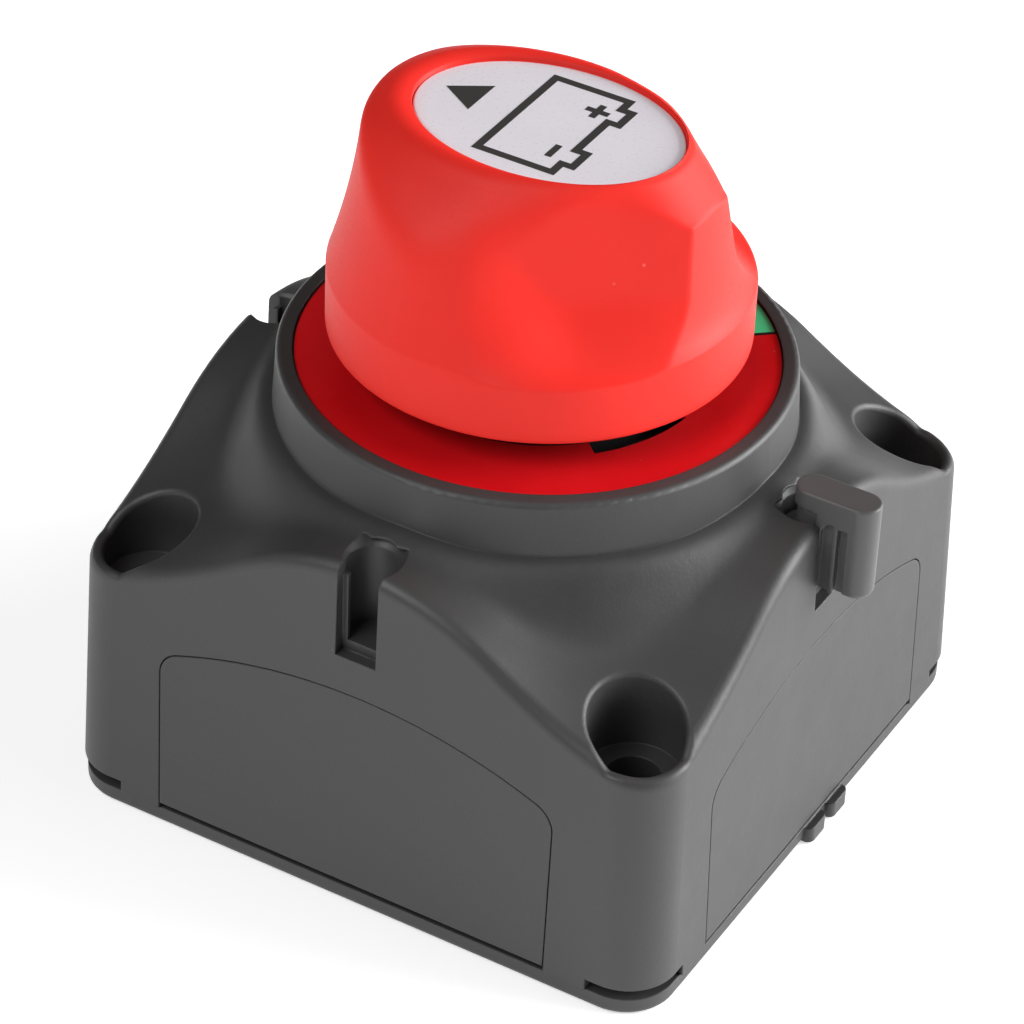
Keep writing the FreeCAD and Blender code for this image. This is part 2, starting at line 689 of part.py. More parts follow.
# ---- Link key ----
def link_key():
    # Dog-bone key: an inner bulb behind the lips, a flange in the recess, an outer bulb past the face.
    bulb = cylinder(key_bulb_r, key_z0, link_lip_top_z - 0.6, link_bore_u)
    bulb = bulb.cut(box(link_lip_u - 0.3, 40.0, -3.0, 3.0, key_z0 - 1.0, 50.0))
    neck = box(link_bore_u, key_end_u - 1.0, -key_neck_half, key_neck_half, key_z0, key_head_z)
    throat = stadium(key_start_u + 0.3, key_flange_u[0] + 1.0, key_half - 0.2,
                     link_lip_top_z - 0.6, key_head_z)
    flange = box(key_flange_u[0], key_flange_u[1], -key_half, key_half, key_z0, key_head_z)
    sunk_u0, sunk_u1 = key_flange_u[0] + 0.6, key_flange_u[1] - 0.45
    arch_r = sunk_u1 - sunk_u0
    for side in (1, -1):
        y0, y1 = sorted((side * (key_half - 0.5), side * (key_half + 1.0)))
        arch_z = key_head_z - arch_r - 0.7
        arch = Part.makeCylinder(arch_r, y1 - y0, V(sunk_u1, y0, arch_z), V(0, 1, 0))
        arch = arch.common(box(sunk_u0, sunk_u1, y0, y1, key_z0 - 1.0, key_head_z))
        flange = flange.cut(box(sunk_u0, sunk_u1, y0, y1, key_z0 - 1.0, arch_z)).cut(arch)
    column = stadium(key_column_u - 2.0 * key_half, key_end_u, key_half, key_z0, key_head_z)
    column = column.makeFillet(0.9, [e for e in column.Edges if e.BoundBox.ZMax < key_z0 + 0.01])
    column = column.common(box(key_column_u, 40.0, -3.0, 3.0, key_z0, key_head_z))
    tie = box(key_flange_u[1], key_column_u, -key_half, key_half, key_head_z - 1.0, key_head_z)
    head = stadium(key_start_u, key_end_u, key_half, key_head_z, key_z1)
    head = head.makeFillet(0.25, [e for e in head.Edges if e.BoundBox.ZMin > key_z1 - 0.01])
    return fuse([bulb, neck, throat, flange, column, tie, head])


nodes = {
    "housing": housing,
    "base_plate": base_plate,
    "side_panel_front": lambda: side_panel(0),
    "side_panel_right": lambda: side_panel(1),
    "side_panel_back": lambda: side_panel(2),
    "side_panel_left": lambda: side_panel(3),
    "base_screws": base_screws,
    "bayonet_plate": bayonet_plate,
    "dial_label": dial_label,
    "contact_carrier": contact_carrier,
    "carrier_gasket": carrier_gasket,
    "carrier_screws": carrier_screws,
    "stud_supply": lambda: stud(-stud_x),
    "stud_load": lambda: stud(stud_x),
    "stud_seals": stud_seals,
    "fixed_contacts": fixed_contacts,
    "clamp_nuts": clamp_nuts,
    "flat_washers": flat_washers,
    "spring_washers": spring_washers,
    "terminal_nuts": terminal_nuts,
    "rotor": rotor,
    "rotor_seal": rotor_seal,
    "rotor_clip": rotor_clip,
    "contact_bridge": contact_bridge,
    "bridge_contacts": bridge_contacts,
    "bridge_spring": bridge_spring,
    "knob": knob,
    "knob_insert": knob_insert,
    "insert_screws": insert_screws,
    "knob_label": knob_label,
    "link_key": link_key,
}

os.makedirs("parts", exist_ok=True)
for name, make in nodes.items():
    shape = make()
    shape.exportStep("parts/" + name + ".step")
    print(name, shape.isValid(), len(shape.Solids), "solids", round(shape.Volume, 1), "mm3")
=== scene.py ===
import json
import math

import bpy
from mathutils import Matrix, Vector


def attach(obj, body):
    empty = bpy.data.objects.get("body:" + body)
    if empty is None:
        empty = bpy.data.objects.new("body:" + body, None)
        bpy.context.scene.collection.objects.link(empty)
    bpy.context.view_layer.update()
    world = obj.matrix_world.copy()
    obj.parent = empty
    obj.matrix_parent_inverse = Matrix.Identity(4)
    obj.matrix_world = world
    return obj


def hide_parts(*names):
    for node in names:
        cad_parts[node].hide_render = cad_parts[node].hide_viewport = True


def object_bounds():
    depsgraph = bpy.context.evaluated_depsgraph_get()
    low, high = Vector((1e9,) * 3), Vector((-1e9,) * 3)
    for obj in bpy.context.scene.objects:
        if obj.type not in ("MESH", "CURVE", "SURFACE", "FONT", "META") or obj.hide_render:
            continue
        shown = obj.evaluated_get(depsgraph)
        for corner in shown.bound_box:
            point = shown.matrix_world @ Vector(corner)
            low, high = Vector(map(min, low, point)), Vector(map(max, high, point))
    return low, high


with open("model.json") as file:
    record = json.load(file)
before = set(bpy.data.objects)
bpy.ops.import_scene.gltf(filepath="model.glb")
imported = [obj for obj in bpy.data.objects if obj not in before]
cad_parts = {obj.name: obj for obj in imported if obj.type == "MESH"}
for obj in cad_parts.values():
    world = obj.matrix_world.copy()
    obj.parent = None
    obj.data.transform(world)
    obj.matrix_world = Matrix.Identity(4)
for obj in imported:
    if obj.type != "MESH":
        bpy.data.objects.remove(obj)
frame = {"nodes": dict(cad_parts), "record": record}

CAD_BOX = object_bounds()
MM = 0.001


# ---- Meshes ----
def make_piece(name, points, faces, body, material, stands_for=()):
    """A smooth mesh, given in mm, that rides a body and may stand for CAD nodes."""
    mesh = bpy.data.meshes.new(name)
    mesh.from_pydata([(x * MM, y * MM, z * MM) for x, y, z in points], [], faces)
    mesh.validate()
    mesh.shade_smooth()
    mesh.materials.append(material)
    piece = bpy.data.objects.new(name, mesh)
    bpy.context.scene.collection.objects.link(piece)
    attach(piece, body)
    if stands_for:
        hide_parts(*stands_for)
    return piece


def lofted(rings, cap_first, cap_last):
    """Points and faces of a closed skin through rings of equal length, from the top down."""
    count = len(rings[0])
    points = [cap_first] + [p for ring in rings for p in ring] + [cap_last]
    faces = []
    for j in range(count):
        k = (j + 1) % count
        faces.append((0, 1 + j, 1 + k))
        for i in range(len(rings) - 1):
            a, b = 1 + i * count, 1 + (i + 1) * count
            faces.append((a + j, b + j, b + k, a + k))
        last = 1 + (len(rings) - 1) * count
        faces.append((last + k, last + j, len(points) - 1))
    return points, faces


def smooth_min(a, b, width):
    """The smaller of two values, rounded off where they differ by less than width."""
    h = max(width - abs(a - b), 0.0) / width
    return min(a, b) - width * h ** 3 / 6.0


def ramp(value, start, end):
    """0 before start and 1 past end, eased between; start may be the larger one."""
    t = min(max((value - start) / (end - start), 0.0), 1.0)
    return t * t * (3.0 - 2.0 * t)


def polar(radius, degrees, z):
    angle = math.radians(degrees)
    return radius * math.cos(angle), radius * math.sin(angle), z


# ---- Knob ----
# Lengths in mm and angles in degrees from the tail (+X); the pointer is at 180.
SKIRT_Z, SKIRT_R, SKIRT_EDGE, SKIRT_EDGE_STEPS = 51.35, 21.25, 0.4, 4
CONE_Z = 58.0                       # the two ends draw in above this height
POINTER_TAPER, POINTER_CURVE = 0.314, 0.007
TAIL_R, TAIL_TAPER, TAIL_FLARE, TAIL_FADE = 20.02, 0.14, 1.35, 1.6
RIM_Z, RIM_ROUND = 74.65, 0.6
# Width of the level rim, and how far the crown runs out per mm of drop, by angle.
LANDS = ((0, 0.3), (15, 0.35), (33, 0.4), (60, 0.7), (75, 0.9), (94, 1.2), (120, 1.7),
         (150, 2.3), (180, 2.5))
FLANKS = ((0, 1.0), (15, 0.87), (33, 0.5), (60, 0.95), (75, 1.15), (94, 1.15), (120, 1.4),
          (150, 2.1), (180, 2.4))
BULGE, BULGE_DROP = 0.6, 4.0        # the crown widens faster below this drop, on the tail side
WALL_DEG, WALL_D, WALL_Z, WALL_DRAFT = 53.0, 14.7, 65.0, 0.204
FLOOR_Z, FLOOR_SLOPE, FLOOR_RAMP = 57.6, 0.36, 1.6
FILLET, CORNER_FILLET = 3.7, 5.2
CROWN_BLEND, CROWN_SOFTER = 0.5, 5.0
END_BLEND, END_SOFTER, POINTER_CRISP = 0.35, 4.0, 0.85
SEAT_A, SEAT_B, SEAT_Z = 14.08, 10.34, 73.6
SEAT_LIP = 0.16                     # least width of the rim round the label's seat
BORE_R, CEILING_Z = 19.2, 56.0
CORE_R, CORE_Z = 10.3, 71.0
OPEN = 60.0                         # a radius past everything
HALVINGS = 22                       # steps of the search for the scoop's face
KNOB_STEPS = 900                    # points round each ring of the skin


def eased(table, angle):
    """Value at an angle on a smooth curve through a table of (angle, value) pairs."""
    i = 0
    while i < len(table) - 2 and angle > table[i + 1][0]:
        i += 1
    (p0, s0), (p1, s1) = table[i], table[i + 1]
    before, after = table[max(i - 1, 0)], table[min(i + 2, len(table) - 1)]
    span, t = p1 - p0, (angle - p0) / (p1 - p0)
    m0 = (s1 - before[1]) / (p1 - before[0]) * span
    m1 = (after[1] - s0) / (after[0] - p0) * span
    return ((2 * t ** 3 - 3 * t ** 2 + 1) * s0 + (t ** 3 - 2 * t ** 2 + t) * m0
            + (3 * t ** 2 - 2 * t ** 3) * s1 + (t ** 3 - t ** 2) * m1)


def seat_radius(phi, grow=0.0):
    """Distance from the axis to the label's oval seat, or to an oval larger by grow."""
    c, s = math.cos(math.radians(phi)), math.sin(math.radians(phi))
    return 1.0 / math.sqrt((c / (SEAT_A + grow)) ** 2 + (s / (SEAT_B + grow)) ** 2)


def scoop_radius(phi, z):
    """Distance from the axis to the side scoop, a flat leaning wall filleted to a sloped floor."""
    turn = abs(phi)
    facing = math.cos(math.radians(turn - WALL_DEG))
    reach = WALL_D + WALL_DRAFT * (WALL_Z - z)
    slope = FLOOR_SLOPE + FLOOR_RAMP * ramp(turn, 48.0, 108.0)
    floor_cosine = 1.0 / math.sqrt(1.0 + slope * slope)
    fillet = FILLET + (CORNER_FILLET - FILLET) * ramp(turn, 50.0, 18.0)
    low, high = 0.0, OPEN
    for _ in range(HALVINGS):
        r = 0.5 * (low + high)
        beyond = max(fillet - (r * facing - reach), 0.0)
        above = max(fillet - (z - FLOOR_Z + slope * (r - SKIRT_R)) * floor_cosine, 0.0)
        if math.hypot(beyond, above) < fillet:
            high = r
        else:
            low = r
    return high


def end_radius(phi, z):
    """Distance from the axis to the outer face: a cone at the pointer, steeper at the tail."""
    rise = max(z - CONE_Z, 0.0)
    pointer = SKIRT_R - POINTER_TAPER * rise + POINTER_CURVE * rise * rise
    tail = min(TAIL_R - TAIL_TAPER * rise + TAIL_FLARE * math.exp(-rise / TAIL_FADE), SKIRT_R)
    return tail + (pointer - tail) * ramp(abs(phi), 20.0, 100.0)


def knob_radius(phi, z):
    """Distance from the axis to the knob's skin, the least of its crown, scoop and ends."""
    drop = RIM_Z - z
    turn = abs(phi)
    crown = seat_radius(phi) + eased(LANDS, turn) + eased(FLANKS, turn) * drop
    crown += BULGE * max(drop - BULGE_DROP, 0.0) * ramp(turn, 70.0, 40.0)
    if drop < RIM_ROUND:
        crown -= RIM_ROUND - math.sqrt(RIM_ROUND ** 2 - (RIM_ROUND - drop) ** 2)
    crown_blend = CROWN_BLEND + CROWN_SOFTER * ramp(turn, 45.0, 85.0)
    body = smooth_min(crown, scoop_radius(phi, z), crown_blend)
    softness = ramp(turn, 70.0, 95.0) - POINTER_CRISP * ramp(turn, 130.0, 160.0)
    skin = smooth_min(end_radius(phi, z), body, END_BLEND + END_SOFTER * softness)
    return max(skin, seat_radius(phi) + SEAT_LIP)


def knob_levels():
    """Heights of the skin's rings, closest together where it bends most."""
    spans = ((RIM_Z, 74.0, 10), (74.0, 70.0, 36), (70.0, 63.0, 30), (63.0, 57.4, 80),
             (57.4, SKIRT_Z + SKIRT_EDGE, 8))
    levels = []
    for top, low, count in spans:
        levels += [top + (low - top) * i / count for i in range(count)]
    return levels + [SKIRT_Z + SKIRT_EDGE]


def knob_skin(material):
    """The knob's whole outside, from the label's seat down and back up inside to the core."""
    turns = [-180.0 + 360.0 * j / KNOB_STEPS for j in range(KNOB_STEPS)]

    def ring(radius, z):
        return [polar(radius(p), p, z) for p in turns]

    def circle(radius, z):
        return [polar(radius, p, z) for p in turns]

    rings = [ring(lambda p, k=k: seat_radius(p) * k, SEAT_Z) for k in (0.4, 0.98)]
    rings += [ring(seat_radius, SEAT_Z + 0.05), ring(seat_radius, RIM_Z - 0.12)]
    rings.append(ring(lambda p: seat_radius(p, 0.08), RIM_Z - 0.02))
    rings += [ring(lambda p, z=z: knob_radius(p, z), z) for z in knob_levels()]
    for i in range(1, SKIRT_EDGE_STEPS + 1):
        a = math.pi / 2.0 * i / SKIRT_EDGE_STEPS
        rings.append(circle(SKIRT_R - SKIRT_EDGE * (1.0 - math.cos(a)),
                            SKIRT_Z + SKIRT_EDGE * (1.0 - math.sin(a))))
    hollow = ((BORE_R + 0.15, SKIRT_Z), (BORE_R, SKIRT_Z + 0.15),
              (BORE_R, CEILING_Z - 0.3), (BORE_R - 0.3, CEILING_Z),
              (CORE_R + 0.2, CEILING_Z), (CORE_R, CEILING_Z + 0.2),
              (CORE_R, CORE_Z - 0.2), (CORE_R - 0.2, CORE_Z))
    rings += [circle(radius, z) for radius, z in hollow]
    points, faces = lofted(rings, (0.0, 0.0, SEAT_Z), (0.0, 0.0, CORE_Z))
    make_piece("knob_skin", points, faces, "knob", material, ("knob",))


# ---- Knob label ----
PLATE_A, PLATE_B, PLATE_Z = 14.0, 10.26, 74.2
PLATE_STEPS = 256
INK_H, INK_ROOT = 0.03, 0.01        # height of the print above the plate, and depth into it


def label_plate(material):
    """The oval insert in the knob's top, with a rounded edge."""
    turns = [2.0 * math.pi * j / PLATE_STEPS for j in range(PLATE_STEPS)]

    def ring(inset, z):
        a, b = PLATE_A - inset, PLATE_B - inset
        return [(a * math.cos(t), b * math.sin(t), z) for t in turns]

    rings = [[(x * k, y * k, z) for x, y, z in ring(0.0, PLATE_Z)] for k in (0.3, 0.6, 0.9)]
    for inset, drop in ((0.25, 0.0), (0.12, 0.02), (0.03, 0.08), (0.0, 0.18)):
        rings.append(ring(inset, PLATE_Z - drop))
    rings += [ring(0.0, SEAT_Z + 0.02), ring(0.1, SEAT_Z)]
    points, faces = lofted(rings, (0.0, 0.0, PLATE_Z), (0.0, 0.0, SEAT_Z))
    make_piece("knob_label_plate", points, faces, "knob", material,
               ("knob_label",))


def ink_block(points, faces, corners):
    """A raised patch of ink with straight sides."""
    base, count = len(points), len(corners)
    for z in (PLATE_Z - INK_ROOT, PLATE_Z + INK_H):
        points += [(x, y, z) for x, y in corners]
    faces.append(tuple(base + count + j for j in range(count)))
    faces.append(tuple(base + j for j in reversed(range(count))))
    for j in range(count):
        k = (j + 1) % count
        faces.append((base + j, base + k, base + count + k, base + count + j))


def ink_band(points, faces, corners, width):
    """A closed raised line of even width inside a right-angled outline that runs anticlockwise."""
    inner = []
    for i, (x, y) in enumerate(corners):
        px, py = corners[i - 1]
        nx, ny = corners[(i + 1) % len(corners)]
        before = Vector((x - px, y - py)).normalized()
        after = Vector((nx - x, ny - y)).normalized()
        inner.append((x - width * (before.y + after.y), y + width * (before.x + after.x)))
    base, count = len(points), len(corners)
    for z in (PLATE_Z - INK_ROOT, PLATE_Z + INK_H):
        points += [(x, y, z) for x, y in corners] + [(x, y, z) for x, y in inner]
    for j in range(count):
        k = (j + 1) % count
        low_out, low_in = base, base + count
        top_out, top_in = base + 2 * count, base + 3 * count
        faces.append((top_out + j, top_out + k, top_in + k, top_in + j))
        faces.append((low_out + k, low_out + j, low_in + j, low_in + k))
        faces.append((low_out + j, low_out + k, top_out + k, top_out + j))
        faces.append((low_in + k, low_in + j, top_in + j, top_in + k))


def label_ink(material):
    """Battery outline with two poles, a triangle towards the pointer, a plus and a minus."""
    points, faces = [], []
    left, right, pole = -4.0, 5.1, 6.3
    foot, top = -7.9, 8.0
    battery = [(left, foot), (right, foot),
               (right, -6.1), (pole, -6.1), (pole, -2.5), (right, -2.5),
               (right, 2.8), (pole, 2.8), (pole, 6.3), (right, 6.3),
               (right, top), (left, top)]
    ink_band(points, faces, battery, 0.85)
    ink_block(points, faces, [(-11.7, 0.3), (-7.7, -2.25), (-7.7, 2.9)])
    arm, half, x, y = 1.25, 0.36, 2.9, 4.35
    plus = [(-half, -arm), (half, -arm), (half, -half), (arm, -half),
            (arm, half), (half, half), (half, arm), (-half, arm),
            (-half, half), (-arm, half), (-arm, -half), (-half, -half)]
    ink_block(points, faces, [(x + dx, y + dy) for dx, dy in plus])
    low, high = -4.15 - 1.15, -4.15 + 1.15
    minus = [(x - half, low), (x + half, low), (x + half, high), (x - half, high)]
    ink_block(points, faces, minus)
    piece = make_piece("knob_label_ink", points, faces, "knob", material)
    piece.data.shade_flat()


# ---- Materials ----
class Nodes:
    """A material's node tree with short calls for the nodes used here."""

    def __init__(self, name):
        self.material = bpy.data.materials.new(name)
        self.material.use_nodes = True
        self.tree = self.material.node_tree
        self.shader = self.tree.nodes["Principled BSDF"]
        coord = self.tree.nodes.new("ShaderNodeTexCoord")
        self.place = coord.outputs["Object"]

    def link(self, source, target):
        """Feeds an input from a socket, a number or a colour of three values."""
        if isinstance(source, (int, float)):
            target.default_value = source
        elif isinstance(source, tuple):
            target.default_value = source + (1.0,)
        else:
            self.tree.links.new(source, target)

    def noise(self, scale, detail=2.0, rough=0.5, place=None):
        node = self.tree.nodes.new("ShaderNodeTexNoise")
        self.link(place or self.place, node.inputs["Vector"])
        node.inputs["Scale"].default_value = scale
        node.inputs["Detail"].default_value = detail
        node.inputs["Roughness"].default_value = rough
        return node.outputs["Fac"]

    def cells(self, scale):
        node = self.tree.nodes.new("ShaderNodeTexVoronoi")
        self.link(self.place, node.inputs["Vector"])
        node.inputs["Scale"].default_value = scale
        return node.outputs["Distance"]

    def math(self, kind, a, b=0.0, clamp=False):
        node = self.tree.nodes.new("ShaderNodeMath")
        node.operation, node.use_clamp = kind, clamp
        self.link(a, node.inputs[0])
        self.link(b, node.inputs[1])
        return node.outputs[0]

    def spread(self, value, low, high, to_low=0.0, to_high=1.0):
        node = self.tree.nodes.new("ShaderNodeMapRange")
        for key, v in (("Value", value), ("From Min", low), ("From Max", high),
                       ("To Min", to_low), ("To Max", to_high)):
            self.link(v, node.inputs[key])
        return node.outputs["Result"]

    def mix(self, factor, a, b):
        node = self.tree.nodes.new("ShaderNodeMix")
        node.data_type = "RGBA"
        self.link(factor, node.inputs["Factor"])
        self.link(a, node.inputs[6])
        self.link(b, node.inputs[7])
        return node.outputs[2]

    def bump(self, height, strength, distance, normal=None):
        node = self.tree.nodes.new("ShaderNodeBump")
        node.inputs["Strength"].default_value = strength
        node.inputs["Distance"].default_value = distance
        self.link(height, node.inputs["Height"])
        if normal:
            self.link(normal, node.inputs["Normal"])
        return node.outputs["Normal"]

    def edges(self, radius):
        """Normals softened over radius, and a mask that is 1 on sharp edges and 0 on flats."""
        bevel = self.tree.nodes.new("ShaderNodeBevel")
        bevel.samples = 4
        bevel.inputs["Radius"].default_value = radius
        surface = self.tree.nodes.new("ShaderNodeNewGeometry")
        dot = self.tree.nodes.new("ShaderNodeVectorMath")
        dot.operation = "DOT_PRODUCT"
        self.link(bevel.outputs["Normal"], dot.inputs[0])
        self.link(surface.outputs["Normal"], dot.inputs[1])
        mask = self.spread(dot.outputs["Value"], 0.99, 0.8, 0.0, 1.0)
        return bevel.outputs["Normal"], mask


NOISE = (0.3, 0.7)                  # nearly all of a noise texture's values lie between these


def shade(colour, factor):
    """A colour made darker or lighter."""
    return tuple(min(c * factor, 1.0) for c in colour)


def moulded(name, colour, roughness, grain=4200.0, grain_bump=0.12, worn_and_highlit_edge_factor=1.5, specks=True):
    """Injection-moulded plastic: fine grain, slight mottling, sharp edges painted lighter (partly
    rubbed wear, partly painted highlight) and dust specks.
    """
    n = Nodes(name)
    soft, mask = n.edges(0.00025)
    mottle = n.noise(90.0, 4.0, 0.6)
    body = n.mix(n.spread(mottle, *NOISE), shade(colour, 0.93), shade(colour, 1.07))
    fine = n.noise(grain, 2.0, 0.55)
    body = n.mix(n.spread(fine, 0.35, 0.65, 0.0, 0.35), body, shade(colour, 1.22))
    # Sharp edges are painted lighter in grainy patches: partly rubbed wear, partly a painted
    # highlight where the edges catch the light.
    worn_and_highlit_edges = n.math("MULTIPLY", mask, n.spread(n.noise(700.0, 3.0, 0.65), 0.42, 0.62), clamp=True)
    body = n.mix(n.math("MULTIPLY", worn_and_highlit_edges, 0.55), body, shade(colour, worn_and_highlit_edge_factor))
    if specks:
        dot = n.spread(n.cells(420.0), 0.07, 0.03)
        chance = n.spread(n.noise(120.0, 1.0), 0.64, 0.7)
        dot = n.math("MULTIPLY", dot, chance)
        body = n.mix(n.math("MULTIPLY", dot, 0.5), body, shade(colour, 3.0))
    n.link(body, n.shader.inputs["Base Color"])
    rough = n.spread(mottle, *NOISE, roughness - 0.05, roughness + 0.05)
    n.link(n.math("SUBTRACT", rough, n.math("MULTIPLY", worn_and_highlit_edges, 0.08)), n.shader.inputs["Roughness"])
    pits = n.math("MULTIPLY", fine, 0.6)
    pits = n.math("ADD", pits, n.math("MULTIPLY", n.noise(grain * 0.35, 2.0), 0.4))
    n.link(n.bump(pits, grain_bump, 0.0002, soft), n.shader.inputs["Normal"])
    return n.material


def red_plastic():
    """The knob's red plastic: finer grain than the housing, few dust specks, little shine."""
    n = Nodes("knob_plastic")
    colour = (0.80, 0.026, 0.018)
    soft, mask = n.edges(0.0003)
    mottle = n.noise(60.0, 3.0, 0.55)
    fine = n.noise(3600.0, 2.0, 0.5)
    body = n.mix(n.spread(mottle, *NOISE), shade(colour, 0.96), shade(colour, 1.05))
    # Sharp edges are painted a lighter red in patches: partly rubbed wear, partly a painted
    # highlight where the edges catch the light.
    worn_and_highlit_edges = n.math("MULTIPLY", mask, n.spread(n.noise(500.0, 3.0), 0.45, 0.65), clamp=True)
    body = n.mix(n.math("MULTIPLY", worn_and_highlit_edges, 0.3), body, (0.8, 0.07, 0.055))
    dot, chance = n.spread(n.cells(260.0), 0.06, 0.03), n.spread(n.noise(90.0, 1.0), 0.62, 0.7)
    dot = n.math("MULTIPLY", dot, chance)
    body = n.mix(n.math("MULTIPLY", dot, 0.5), body, (0.85, 0.2, 0.16))
    n.link(body, n.shader.inputs["Base Color"])
    n.link(n.spread(fine, *NOISE, 0.46, 0.56), n.shader.inputs["Roughness"])
    n.link(n.bump(fine, 0.05, 0.0002, soft), n.shader.inputs["Normal"])
    n.shader.inputs["Specular IOR Level"].default_value = 0.22
    n.shader.inputs["Subsurface Weight"].default_value = 0.06
    n.shader.inputs["Subsurface Radius"].default_value = (0.004, 0.001, 0.0008)
    n.shader.inputs["Subsurface Scale"].default_value = 0.5
    return n.material


def printed(name, colour, roughness, coat, fleck=0.04):
    """Printed polycarbonate label under a clear skin."""
    n = Nodes(name)
    cloud = n.noise(45.0, 3.0, 0.6)
    fine = n.noise(2600.0, 2.0, 0.5)
    darker, lighter = shade(colour, 1.0 - fleck), shade(colour, 1.0 + fleck)
    body = n.mix(n.spread(cloud, *NOISE), darker, lighter)
    n.link(body, n.shader.inputs["Base Color"])
    n.link(n.spread(fine, *NOISE, roughness - 0.04, roughness + 0.04), n.shader.inputs["Roughness"])
    n.link(n.bump(cloud, 0.03, 0.0005), n.shader.inputs["Normal"])
    n.shader.inputs["Coat Weight"].default_value = coat
    n.shader.inputs["Coat Roughness"].default_value = 0.08
    return n.material


GREEN_FROM, GREEN_TO = 41.0, 139.0  # degrees from +X towards +Y
DIAL_EDGE = (0.02425, 0.0243)       # the dark border starts between these radii, in metres


def dial_print():
    """Dial ring: red, with a green sector about +Y between two thin dark lines."""
    n = Nodes("dial_print")
    split = n.tree.nodes.new("ShaderNodeSeparateXYZ")
    n.link(n.place, split.inputs[0])
    x, y = split.outputs[0], split.outputs[1]
    angle = n.math("MULTIPLY", n.math("ARCTAN2", y, x), 180.0 / math.pi)
    radius = n.math("SQRT", n.math("ADD", n.math("MULTIPLY", x, x), n.math("MULTIPLY", y, y)))
    off = n.math("ABSOLUTE", n.math("SUBTRACT", angle, 0.5 * (GREEN_FROM + GREEN_TO)))
    half = 0.5 * (GREEN_TO - GREEN_FROM)
    inside = n.spread(off, half - 0.05, half + 0.05, 1.0, 0.0)
    gap = n.math("MULTIPLY", n.math("ABSOLUTE", n.math("SUBTRACT", off, half)), radius)
    line = n.spread(gap, 0.011, 0.014, 1.0, 0.0)
    cloud = n.noise(70.0, 3.0, 0.6)
    red = n.mix(n.spread(cloud, *NOISE), (0.57, 0.003, 0.006), (0.65, 0.006, 0.010))
    green = n.mix(n.spread(cloud, *NOISE), (0.075, 0.66, 0.28), (0.085, 0.72, 0.31))
    body = n.mix(inside, red, green)
    body = n.mix(line, body, (0.012, 0.010, 0.010))
    border = n.spread(radius, *DIAL_EDGE)
    body = n.mix(border, body, (0.03, 0.006, 0.007))
    dust, chance = n.spread(n.cells(700.0), 0.08, 0.03), n.spread(n.noise(160.0, 1.0), 0.6, 0.68)
    dust = n.math("MULTIPLY", dust, chance)
    body = n.mix(n.math("MULTIPLY", dust, 0.5), body, (0.7, 0.4, 0.4))
    n.link(body, n.shader.inputs["Base Color"])
    fine = n.noise(3000.0, 2.0, 0.5)
    n.link(n.spread(fine, *NOISE, 0.30, 0.38), n.shader.inputs["Roughness"])
    n.link(n.bump(fine, 0.05, 0.0001), n.shader.inputs["Normal"])
    return n.material


def metal(name, colour, roughness, stretch=(1.0, 1.0, 12.0)):
    """Plated metal with turned or brushed lines and small stains."""
    n = Nodes(name)
    mapping = n.tree.nodes.new("ShaderNodeMapping")
    mapping.inputs["Scale"].default_value = stretch
    n.link(n.place, mapping.inputs["Vector"])
    lines = n.noise(900.0, 3.0, 0.6, mapping.outputs[0])
    stain = n.noise(160.0, 4.0, 0.6)
    soft, mask = n.edges(0.0002)
    body = n.mix(n.spread(stain, 0.35, 0.7), shade(colour, 1.04), shade(colour, 0.86))
    n.link(body, n.shader.inputs["Base Color"])
    n.shader.inputs["Metallic"].default_value = 1.0
    rough = n.math("ADD", n.spread(lines, *NOISE, roughness - 0.06, roughness + 0.08),
                   n.spread(stain, 0.4, 0.75, 0.0, 0.1))
    n.link(n.math("SUBTRACT", rough, n.math("MULTIPLY", mask, 0.06)), n.shader.inputs["Roughness"])
    n.link(n.bump(lines, 0.08, 0.0001, soft), n.shader.inputs["Normal"])
    return n.material


def rubber():
    """Black seal rubber with a fine matt skin."""
    n = Nodes("seal_rubber")
    fine = n.noise(2200.0, 3.0, 0.6)
    body = n.mix(n.spread(fine, *NOISE), (0.014, 0.014, 0.015), (0.024, 0.024, 0.025))
    n.link(body, n.shader.inputs["Base Color"])
    n.link(n.spread(fine, *NOISE, 0.62, 0.78), n.shader.inputs["Roughness"])
    n.link(n.bump(fine, 0.2, 0.0001), n.shader.inputs["Normal"])
    return n.material


HOUSING_GREY = (0.040, 0.040, 0.0405)
MATERIALS = {
    "housing_plastic": moulded("housing_plastic", HOUSING_GREY, 0.46),
    "panel_plastic": moulded("panel_plastic", HOUSING_GREY, 0.47, grain=3600.0),
    # Its sharp edges are painted much lighter: partly wear, partly painted highlight.
    "black_plastic": moulded("black_plastic", (0.016, 0.016, 0.017), 0.4, worn_and_highlit_edge_factor=2.5),
    "carrier_plastic": moulded("carrier_plastic", (0.09, 0.088, 0.085), 0.5, specks=False),
    "key_plastic": moulded("key_plastic", (0.075, 0.075, 0.076), 0.4, grain=5200.0,
                           grain_bump=0.08),
    "knob_plastic": red_plastic(),
    "knob_print": printed("knob_print", (0.78, 0.74, 0.79), 0.3, 0.6),
    "dial_print": dial_print(),
    "seal_rubber": rubber(),
    "steel": metal("steel", (0.58, 0.57, 0.56), 0.34),
    "tinned_copper": metal("tinned_copper", (0.70, 0.67, 0.62), 0.36),
    "silver_contact": metal("silver_contact", (0.84, 0.82, 0.78), 0.26, (1.0, 1.0, 1.0)),
}
INK = printed("label_ink", (0.045, 0.042, 0.040), 0.38, 0.4, 0.1)

for part in frame["record"]["subparts"]:
    node = frame["nodes"][part["node"]]
    node.data.materials.clear()
    node.data.materials.append(MATERIALS[part["material_slot"]])

knob_skin(MATERIALS["knob_plastic"])
label_plate(MATERIALS["knob_print"])
label_ink(INK)


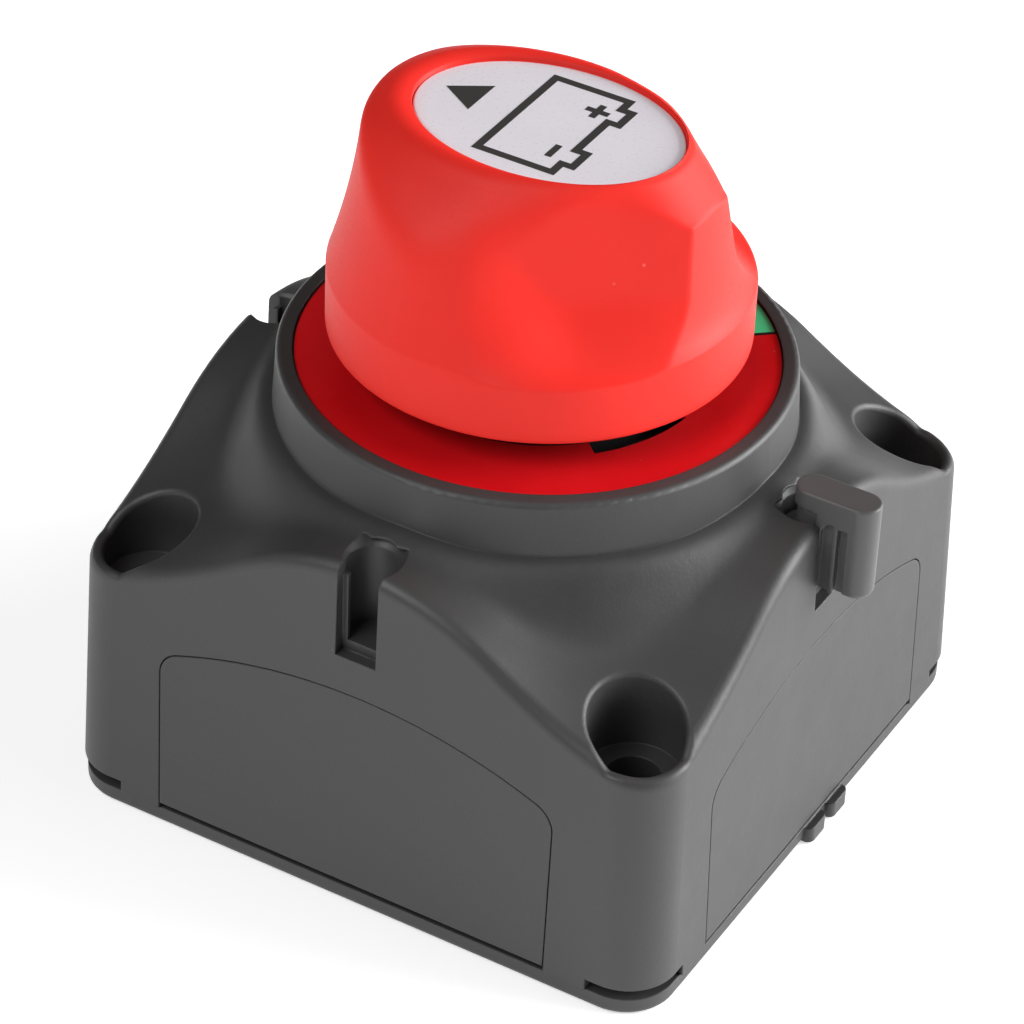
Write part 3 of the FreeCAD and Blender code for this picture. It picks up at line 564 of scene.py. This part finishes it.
# ---- Floor, lights and camera ----
def floor():
    """Plain pale floor just under the base."""
    n = Nodes("pale_floor")
    cloud = n.noise(3.0, 2.0, 0.5)
    n.link(n.mix(cloud, (0.93, 0.93, 0.93), (0.95, 0.95, 0.95)), n.shader.inputs["Base Color"])
    n.shader.inputs["Roughness"].default_value = 0.9
    n.shader.inputs["Specular IOR Level"].default_value = 0.1
    n.shader.inputs["Emission Color"].default_value = (1.0, 1.0, 1.0, 1.0)
    n.shader.inputs["Emission Strength"].default_value = 0.47
    mesh = bpy.data.meshes.new("floor")
    half = 6.0
    corners = [(-half, -half, 0), (half, -half, 0), (half, half, 0), (-half, half, 0)]
    mesh.from_pydata(corners, [], [(0, 1, 2, 3)])
    mesh.materials.append(n.material)
    piece = bpy.data.objects.new("floor", mesh)
    piece.location.z = CAD_BOX[0][2] - 0.0002
    bpy.context.scene.collection.objects.link(piece)


AIM_Z = 0.035                       # middle of the object, in metres
LIGHT_AWAY, LIGHT_WIDTH = 1.6, 1.0


def softbox(name, azimuth, elevation, height, power):
    """Area light aimed at the middle of the object; azimuth is measured from +X towards +Y."""
    aim = Vector((0.0, 0.0, AIM_Z))
    a, e = math.radians(azimuth), math.radians(elevation)
    away = Vector((math.cos(a) * math.cos(e), math.sin(a) * math.cos(e), math.sin(e)))
    light = bpy.data.lights.new(name, "AREA")
    light.shape = "RECTANGLE"
    light.size, light.size_y = LIGHT_WIDTH, height
    light.energy = power
    lamp = bpy.data.objects.new(name, light)
    lamp.location = aim + away * LIGHT_AWAY
    lamp.rotation_euler = away.to_track_quat("Z", "Y").to_euler()
    bpy.context.scene.collection.objects.link(lamp)


def camera():
    """Long lens from the front right, well above the object."""
    azimuth, elevation, roll = math.radians(29.05), math.radians(36.74), math.radians(2.55)
    across, along, away = -0.90, 22.06, 465.4
    back = Vector((math.sin(azimuth) * math.cos(elevation),
                   -math.cos(azimuth) * math.cos(elevation), math.sin(elevation)))
    level = Vector((math.cos(azimuth), math.sin(azimuth), 0.0))
    up = back.cross(level)
    right = math.cos(roll) * level + math.sin(roll) * up
    top = -math.sin(roll) * level + math.cos(roll) * up
    data = bpy.data.cameras.new("camera")
    data.sensor_fit = "HORIZONTAL"
    data.sensor_width = 36.0
    data.lens = 154.33
    data.clip_start, data.clip_end = 0.01, 50.0
    seat = bpy.data.objects.new("camera", data)
    turn = Matrix((right, top, back)).transposed().to_4x4()
    place = (right * across + top * along + back * away) * MM
    seat.matrix_world = Matrix.Translation(place) @ turn
    bpy.context.scene.collection.objects.link(seat)
    bpy.context.scene.camera = seat


def surroundings(strength):
    """Faint even white light from all sides."""
    world = bpy.data.worlds.new("studio")
    world.use_nodes = True
    world.node_tree.nodes["Background"].inputs["Color"].default_value = (1.0, 1.0, 1.0, 1.0)
    world.node_tree.nodes["Background"].inputs["Strength"].default_value = strength
    bpy.context.scene.world = world


floor()
surroundings(0.03)
softbox("key", 30.0, 15.0, 0.9, 31.7)
softbox("back_key", 50.0, 15.0, 0.9, 15.5)
softbox("high_key", 20.0, 40.0, 0.9, 5.1)
softbox("front_fill", -110.0, 45.0, 0.9, 15.0)
softbox("top", 0.0, 88.0, 1.0, 1.3)
camera()
bpy.context.scene.view_settings.view_transform = "Standard"
